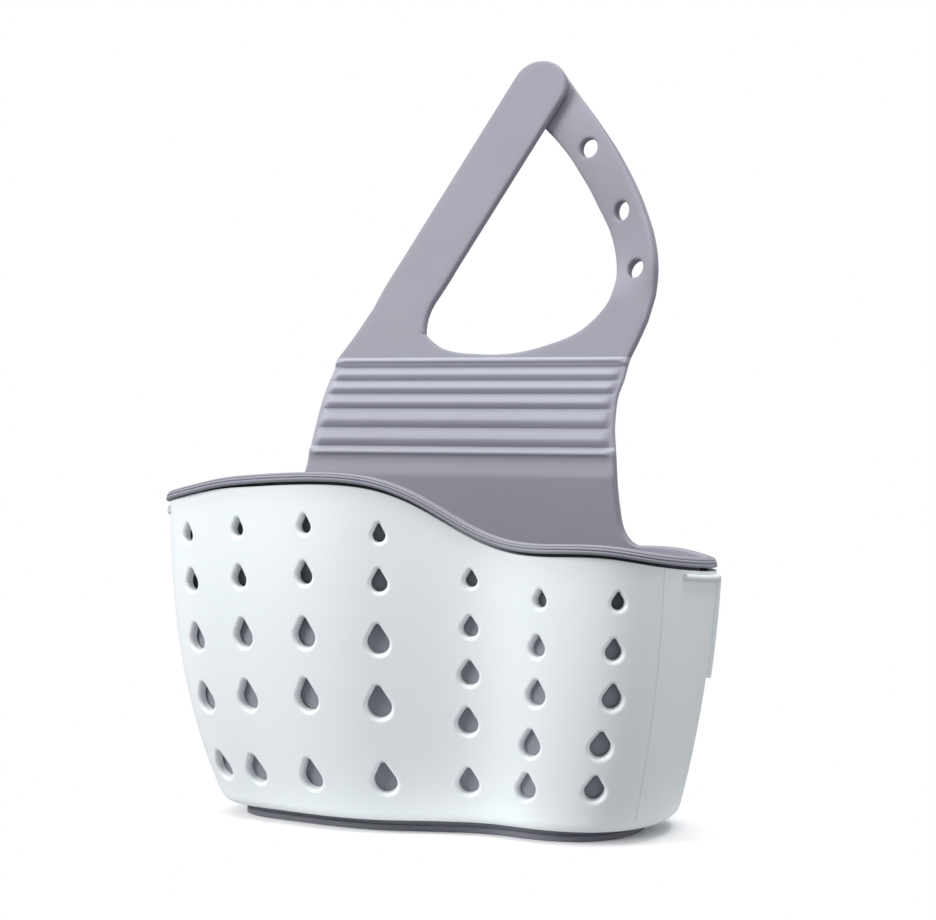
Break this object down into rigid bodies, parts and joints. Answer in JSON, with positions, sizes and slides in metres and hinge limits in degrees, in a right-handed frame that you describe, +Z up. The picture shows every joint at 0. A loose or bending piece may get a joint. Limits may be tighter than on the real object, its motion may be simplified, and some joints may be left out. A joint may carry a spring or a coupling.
{
  "type": "sponge holder",
  "caption": "Kitchen sink sponge holder: pierced hard shell, soft lift-out basket and a ribbed, buttoned hanging strap.",
  "frame": {"origin": "on the table, under the middle of the whole object's outline, strap included", "axes": "+Z up, the pierced front faces -Y, the strap and flat back are towards +Y, +X is to the viewer's right"},
  "size_m": [0.137, 0.094, 0.1913],
  "materials": {
    "hard_shell": "satin moulded",
    "soft_grey": "soft matte"
  },
  "bodies": {
    "shell": {"outer_shell": "hard_shell"},
    "basket": {"inner_basket": "soft_grey"},
    "rib_1": {"fold_rib_1": "soft_grey"},
    "rib_2": {"fold_rib_2": "soft_grey"},
    "rib_3": {"fold_rib_3": "soft_grey"},
    "rib_4": {"fold_rib_4": "soft_grey"},
    "rib_5": {"fold_rib_5": "soft_grey"},
    "yoke": {"strap_yoke": "soft_grey"},
    "button_arm": {"button_arm": "soft_grey", "snap_button": "soft_grey"},
    "hole_arm": {"hole_arm": "soft_grey"}
  },
  "joints": [
    {"name": "basket_lift", "type": "slide", "parent": "shell", "child": "basket", "axis": [0, 0, 1], "range_m": [0, 0.085]},
    {"name": "strap_fold_1", "type": "hinge", "parent": "basket", "child": "rib_1", "pos_m": [0, 0.015, 0.0904], "axis": [-1, 0, 0], "range_deg": [-3, 12], "stiffness_Nm_per_rad": 0.6},
    {"name": "strap_fold_2", "type": "hinge", "parent": "rib_1", "child": "rib_2", "pos_m": [0, 0.01524, 0.09499], "axis": [-1, 0, 0], "range_deg": [-3, 12], "stiffness_Nm_per_rad": 0.6},
    {"name": "strap_fold_3", "type": "hinge", "parent": "rib_2", "child": "rib_3", "pos_m": [0, 0.01574, 0.09977], "axis": [-1, 0, 0], "range_deg": [-3, 12], "stiffness_Nm_per_rad": 0.6},
    {"name": "strap_fold_4", "type": "hinge", "parent": "rib_3", "child": "rib_4", "pos_m": [0, 0.01632, 0.10342], "axis": [-1, 0, 0], "range_deg": [-3, 12], "stiffness_Nm_per_rad": 0.6},
    {"name": "strap_fold_5", "type": "hinge", "parent": "rib_4", "child": "rib_5", "pos_m": [0, 0.01703, 0.10675], "axis": [-1, 0, 0], "range_deg": [-3, 12], "stiffness_Nm_per_rad": 0.6},
    {"name": "strap_fold_6", "type": "hinge", "parent": "rib_5", "child": "yoke", "pos_m": [0, 0.01791, 0.11003], "axis": [-1, 0, 0], "range_deg": [-3, 12], "stiffness_Nm_per_rad": 0.6},
    {"name": "button_arm_peel", "type": "hinge", "parent": "yoke", "child": "button_arm", "pos_m": [-0.0239, 0.02128, 0.12849], "axis": [0.8886, -0.1417, -0.4362], "range_deg": [0, 75], "stiffness_Nm_per_rad": 0.25},
    {"name": "hole_arm_bend", "type": "hinge", "parent": "yoke", "child": "hole_arm", "pos_m": [0.0363, 0.02313, 0.1261], "axis": [-1, 0, 0], "range_deg": [0, 60], "stiffness_Nm_per_rad": 0.25}
  ]
}
